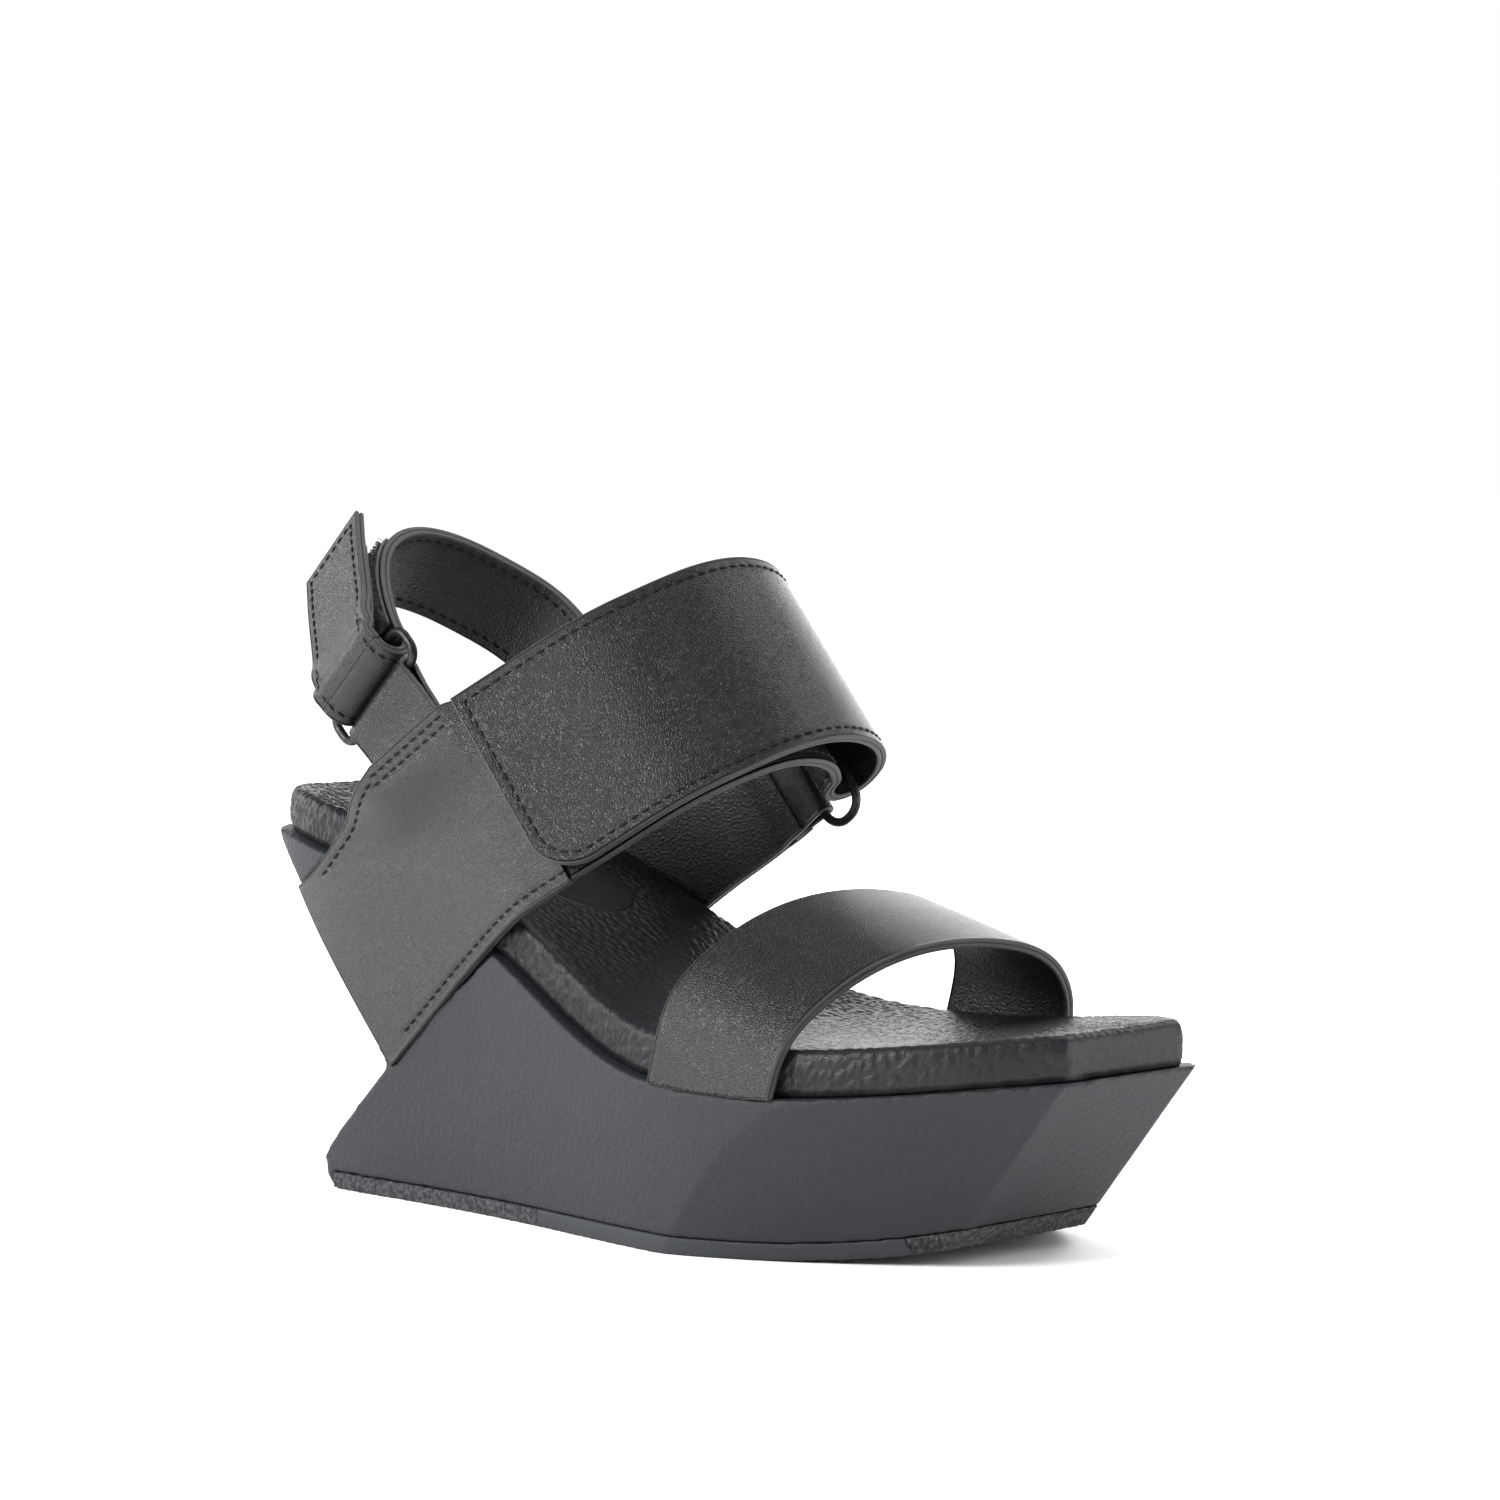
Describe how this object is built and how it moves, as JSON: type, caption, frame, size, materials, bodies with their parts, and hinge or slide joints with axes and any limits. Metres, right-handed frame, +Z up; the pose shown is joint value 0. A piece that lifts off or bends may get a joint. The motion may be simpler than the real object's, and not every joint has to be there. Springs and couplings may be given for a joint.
{
  "type": "wedge sandal",
  "caption": "Right-foot wedge sandal with a notched Z-profile sole, toe strap, and instep and ankle straps that fold through wire rings and close with hook-and-loop.",
  "frame": {"origin": "on the ground under the middle of the footbed's length", "axes": "+X towards the toes, +Y towards the medial side, +Z up"},
  "size_m": [0.2577, 0.0939, 0.162],
  "materials": {
    "moulded_wedge": "pebbled moulded polyurethane",
    "sole_rubber_textured": "crumb-textured rubber",
    "sole_rubber_smooth": "smooth rubber",
    "shank_steel": "plain spring steel",
    "fibre_board": "pressed fibre board",
    "cushion_foam": "soft foam",
    "footbed_leather": "tumbled, pebbled leather",
    "label_leather": "smooth polished leather",
    "strap_leather": "smooth fine-grained satin leather",
    "lining_leather": "matte lining leather",
    "ring_metal": "dark gunmetal plating",
    "loop_fabric": "soft loop pile",
    "hook_fabric": "stiff hook tape"
  },
  "bodies": {
    "sandal": {"wedge_midsole": "moulded_wedge", "outsole_heel": "sole_rubber_textured", "outsole_waist": "sole_rubber_smooth", "outsole_toe": "sole_rubber_textured", "shank": "shank_steel", "insole_board": "fibre_board", "footbed_core": "cushion_foam", "footbed_cover": "footbed_leather", "sock_label": "label_leather", "lateral_quarter_outer": "strap_leather", "lateral_quarter_lining": "lining_leather", "ankle_tab": "strap_leather", "medial_quarter_outer": "strap_leather", "medial_quarter_lining": "lining_leather", "instep_tab": "strap_leather", "ankle_strap_outer": "strap_leather", "ankle_strap_lining": "lining_leather", "ankle_loop_pad": "loop_fabric", "instep_strap_outer": "strap_leather", "instep_strap_lining": "lining_leather", "instep_loop_pad": "loop_fabric", "toe_strap_outer": "strap_leather", "toe_strap_lining": "lining_leather"},
    "ankle_buckle": {"ankle_ring": "ring_metal"},
    "ankle_end": {"ankle_flap_outer": "strap_leather", "ankle_flap_lining": "lining_leather", "ankle_hook_pad": "hook_fabric"},
    "instep_buckle": {"instep_ring": "ring_metal"},
    "instep_end": {"instep_flap_outer": "strap_leather", "instep_flap_lining": "lining_leather", "instep_hook_pad": "hook_fabric"}
  },
  "joints": [
    {"name": "ankle_ring_swing", "type": "hinge", "parent": "sandal", "child": "ankle_buckle", "pos_m": [-0.06258, -0.036, 0.11773], "axis": [0.7071, 0, 0.7071], "range_deg": [-12, 12]},
    {"name": "ankle_strap_peel", "type": "hinge", "parent": "sandal", "child": "ankle_end", "pos_m": [-0.06923, -0.0423, 0.12438], "axis": [0.7071, 0, 0.7071], "range_deg": [0, 150]},
    {"name": "instep_ring_swing", "type": "hinge", "parent": "sandal", "child": "instep_buckle", "pos_m": [-0.00394, 0.035, 0.11133], "axis": [-0.6293, 0, 0.7771], "range_deg": [-15, 10]},
    {"name": "instep_strap_peel", "type": "hinge", "parent": "sandal", "child": "instep_end", "pos_m": [0.0057, 0.0413, 0.11913], "axis": [-0.6293, 0, 0.7771], "range_deg": [0, 150]}
  ]
}
